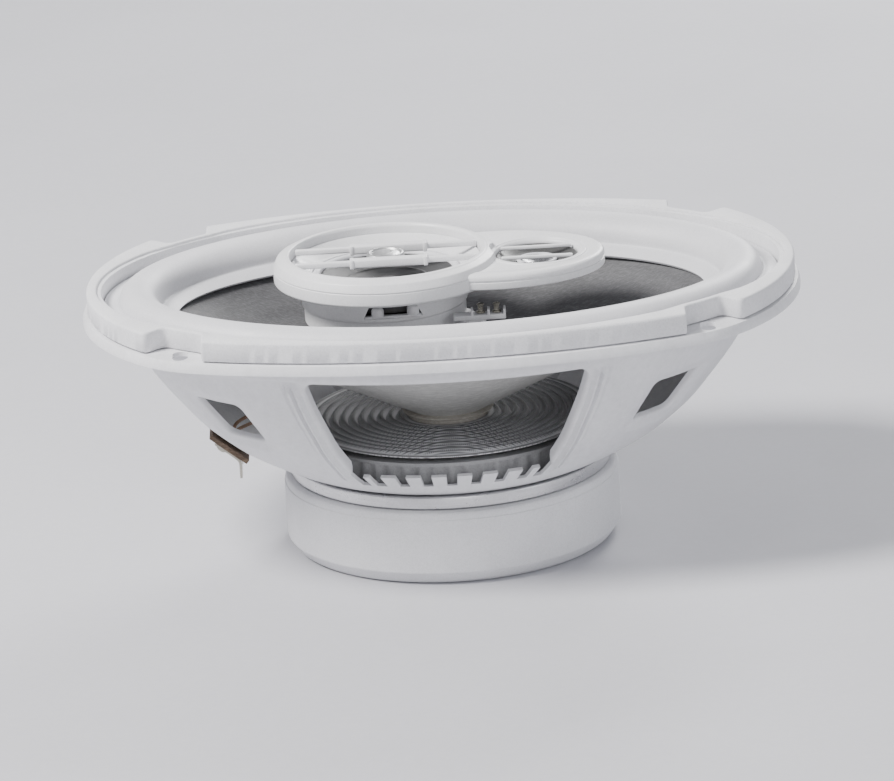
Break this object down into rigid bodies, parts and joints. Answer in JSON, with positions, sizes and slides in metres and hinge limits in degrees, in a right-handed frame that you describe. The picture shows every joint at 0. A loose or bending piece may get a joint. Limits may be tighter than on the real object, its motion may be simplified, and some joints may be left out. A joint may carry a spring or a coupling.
{
  "type": "coaxial car speaker",
  "caption": "Oval coaxial car speaker: stamped basket, oval cone woofer, bridge with midrange and inverted-dome tweeter, booted magnet",
  "frame": {"origin": "centre of the magnet boot's back face, on which the speaker stands", "axes": "+Z the way the speaker faces, +X along the long side of the oval towards the tweeter, +Y to the rear side"},
  "size_m": [0.235, 0.164, 0.0984],
  "materials": {
    "painted_steel": "pale satin paint on stamped steel",
    "plated_steel": "zinc plated, satin",
    "boot_rubber": "pale matte moulded rubber",
    "gasket_rubber": "pale matte moulded rubber",
    "surround_rubber": "pale soft butyl rubber, low sheen",
    "cone_paper": "coated charcoal pulp",
    "spider_cloth": "grey resin-treated woven cloth",
    "ferrite": "dark ground ferrite",
    "pod_plastic": "pale satin moulded plastic",
    "dark_plastic": "black moulded plastic",
    "diaphragm": "charcoal film",
    "metal_dome": "dark anodised",
    "copper": "enamelled copper wire",
    "coil_paper": "brown resin paper",
    "fibre_board": "dark phenolic board",
    "tinned_brass": "tinned"
  },
  "bodies": {
    "frame": {"basket": "painted_steel", "basket_rivet_1": "plated_steel", "basket_rivet_2": "plated_steel", "basket_rivet_3": "plated_steel", "basket_rivet_4": "plated_steel", "bridge_bolt": "plated_steel", "bridge_post": "pod_plastic", "crossover_capacitor": "dark_plastic", "front_gasket": "gasket_rubber", "grille_badge": "plated_steel", "magnet": "ferrite", "magnet_boot": "boot_rubber", "mid_bar_front": "pod_plastic", "mid_bar_rear": "pod_plastic", "mid_frame": "dark_plastic", "mid_magnet": "ferrite", "mid_pole_plate": "plated_steel", "mid_surround": "surround_rubber", "mid_waveguide": "pod_plastic", "mid_yoke": "plated_steel", "pod_base": "pod_plastic", "pod_housing": "pod_plastic", "pod_lug_1": "tinned_brass", "pod_lug_2": "tinned_brass", "pod_screw_1": "pod_plastic", "pod_screw_2": "pod_plastic", "pod_terminal_arm": "pod_plastic", "spider": "spider_cloth", "spider_ring": "pod_plastic", "surround": "surround_rubber", "t_yoke": "plated_steel", "terminal_blade_negative": "tinned_brass", "terminal_blade_positive": "tinned_brass", "terminal_board": "fibre_board", "terminal_rivet_negative": "plated_steel", "terminal_rivet_positive": "plated_steel", "tinsel_lead_negative": "copper", "tinsel_lead_positive": "copper", "top_plate": "plated_steel", "tweeter_bar_front": "pod_plastic", "tweeter_bar_rear": "pod_plastic", "tweeter_horn": "dark_plastic", "tweeter_magnet": "ferrite", "tweeter_surround": "surround_rubber", "tweeter_yoke": "plated_steel"},
    "woofer": {"cone": "cone_paper", "voice_coil_former": "coil_paper", "voice_coil_winding": "copper"},
    "midrange": {"mid_diaphragm": "diaphragm", "mid_coil": "copper"},
    "tweeter": {"tweeter_dome": "metal_dome", "tweeter_coil": "copper"}
  },
  "joints": [
    {"name": "woofer_travel", "type": "slide", "parent": "frame", "child": "woofer", "axis": [0, 0, 1], "range_m": [-0.005, 0.005], "stiffness_N_per_m": 2200, "deforming": ["surround", "spider", "tinsel_lead_negative", "tinsel_lead_positive"]},
    {"name": "midrange_travel", "type": "slide", "parent": "frame", "child": "midrange", "axis": [0, 0, 1], "range_m": [-0.0008, 0.0008], "stiffness_N_per_m": 400, "deforming": ["mid_surround"]},
    {"name": "tweeter_travel", "type": "slide", "parent": "frame", "child": "tweeter", "axis": [0, 0, 1], "range_m": [-0.00025, 0.00025], "stiffness_N_per_m": 150, "deforming": ["tweeter_surround"]}
  ]
}
